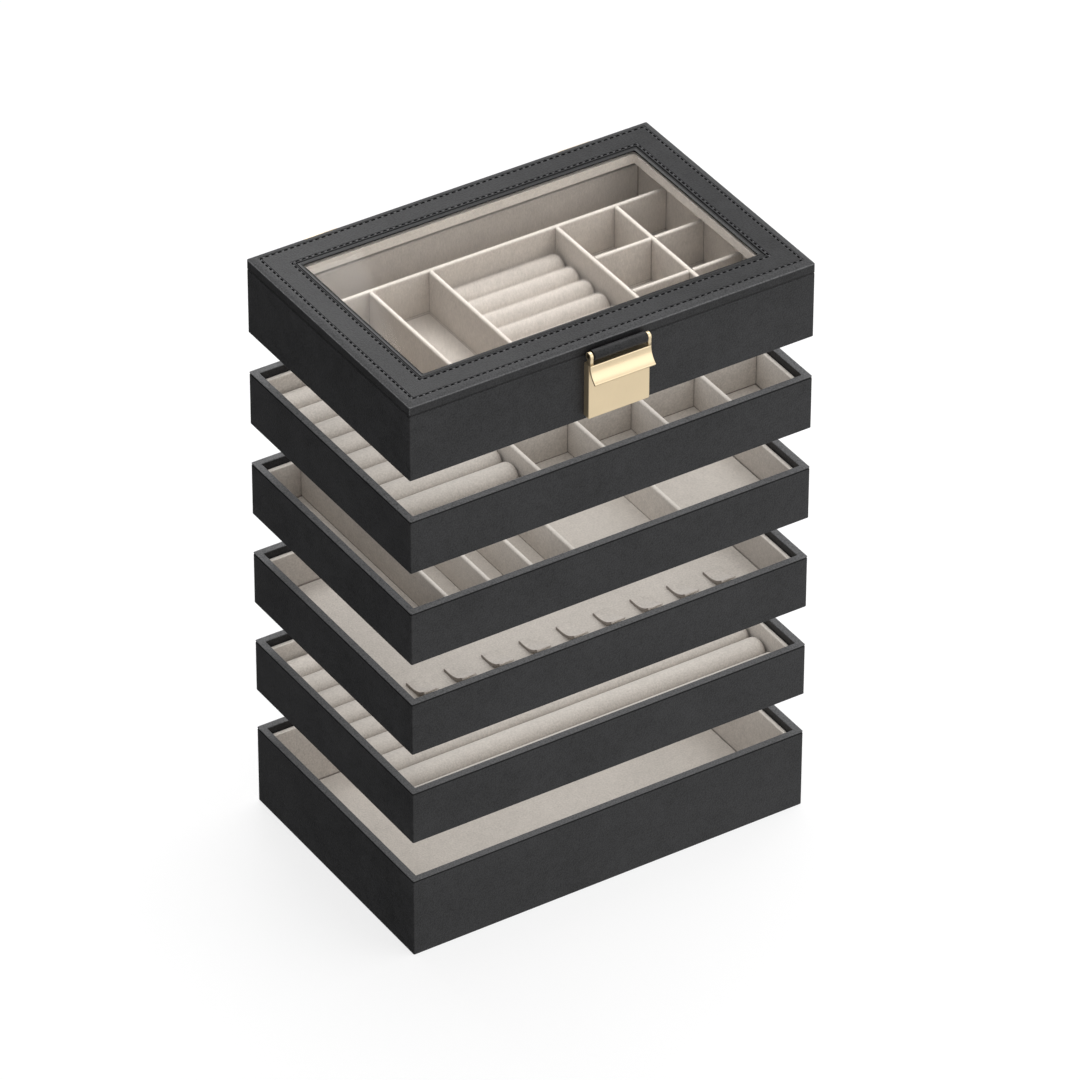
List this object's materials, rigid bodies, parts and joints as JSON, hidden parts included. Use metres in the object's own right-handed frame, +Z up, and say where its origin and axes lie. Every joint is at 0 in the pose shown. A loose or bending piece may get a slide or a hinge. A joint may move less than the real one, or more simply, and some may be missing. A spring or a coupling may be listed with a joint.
{
  "type": "jewelry organizer",
  "caption": "Stacking jewelry organizer of black leatherette trays lined with velvet, under a top box with a hinged glazed lid and a brass clasp.",
  "frame": {"origin": "middle of the underside of the deep bottom tray", "axes": "+Z up through the stack, +X to the right along the front, +Y to the back, with the clasp at the front (-Y)"},
  "size_m": [0.3, 0.2125, 0.4295],
  "materials": {
    "leatherette": "black leatherette with a fine grain and a soft sheen",
    "velvet": "short-pile greige velvet",
    "base_cloth": "black cloth over board",
    "brass": "pale satin brass",
    "glass": "clear float glass",
    "steel": "nickel-plated magnet",
    "bead": "black glazing bead"
  },
  "bodies": {
    "bottom_tray": {"deep_tray_walls": "leatherette", "deep_tray_base": "base_cloth", "deep_tray_liner": "velvet", "deep_tray_floor_pad": "velvet"},
    "tray_5": {"tray_5_walls": "leatherette", "tray_5_base": "base_cloth", "tray_5_liner": "velvet", "tray_5_floor_pad": "velvet", "tray_5_ring_rolls": "velvet"},
    "tray_4": {"tray_4_walls": "leatherette", "tray_4_base": "base_cloth", "tray_4_liner": "velvet", "tray_4_floor_pad": "velvet", "tray_4_necklace_tabs": "velvet"},
    "tray_3": {"tray_3_walls": "leatherette", "tray_3_base": "base_cloth", "tray_3_liner": "velvet", "tray_3_floor_pad": "velvet", "tray_3_dividers": "velvet"},
    "tray_2": {"tray_2_walls": "leatherette", "tray_2_base": "base_cloth", "tray_2_liner": "velvet", "tray_2_floor_pad": "velvet", "tray_2_ring_rolls": "velvet", "tray_2_column_dividers": "velvet", "tray_2_row_dividers": "velvet"},
    "top_box": {"top_box_walls": "leatherette", "top_box_base": "base_cloth", "top_box_liner": "velvet", "top_box_floor_pad": "velvet", "top_box_ring_rolls": "velvet", "top_box_long_divider": "velvet", "top_box_bay_dividers": "velvet", "top_box_cell_dividers": "velvet", "catch_block": "brass", "catch_magnet": "steel", "hinge_box_leaves": "brass", "hinge_box_screws": "brass", "hinge_pins": "brass"},
    "lid": {"lid_frame": "leatherette", "lid_lining": "velvet", "lid_glass": "glass", "lid_bead": "bead", "hinge_lid_leaves": "brass", "hinge_lid_screws": "brass", "hasp_loop": "leatherette"},
    "hasp": {"hasp_flap": "brass", "hasp_bar": "brass"}
  },
  "joints": [
    {"name": "tray_5_lift", "type": "slide", "parent": "bottom_tray", "child": "tray_5", "axis": [0, 0, 1], "range_m": [-0.0302, 0.04]},
    {"name": "tray_4_lift", "type": "slide", "parent": "tray_5", "child": "tray_4", "axis": [0, 0, 1], "range_m": [-0.0302, 0.04]},
    {"name": "tray_3_lift", "type": "slide", "parent": "tray_4", "child": "tray_3", "axis": [0, 0, 1], "range_m": [-0.0302, 0.04]},
    {"name": "tray_2_lift", "type": "slide", "parent": "tray_3", "child": "tray_2", "axis": [0, 0, 1], "range_m": [-0.0302, 0.04]},
    {"name": "top_box_lift", "type": "slide", "parent": "tray_2", "child": "top_box", "axis": [0, 0, 1], "range_m": [-0.0302, 0.04]},
    {"name": "lid_hinge", "type": "hinge", "parent": "top_box", "child": "lid", "pos_m": [0, 0.1, 0.42065], "axis": [-1, 0, 0], "range_deg": [0, 100]},
    {"name": "hasp_hinge", "type": "hinge", "parent": "lid", "child": "hasp", "pos_m": [0, -0.102, 0.4221], "axis": [-1, 0, 0], "range_deg": [0, 110]}
  ]
}
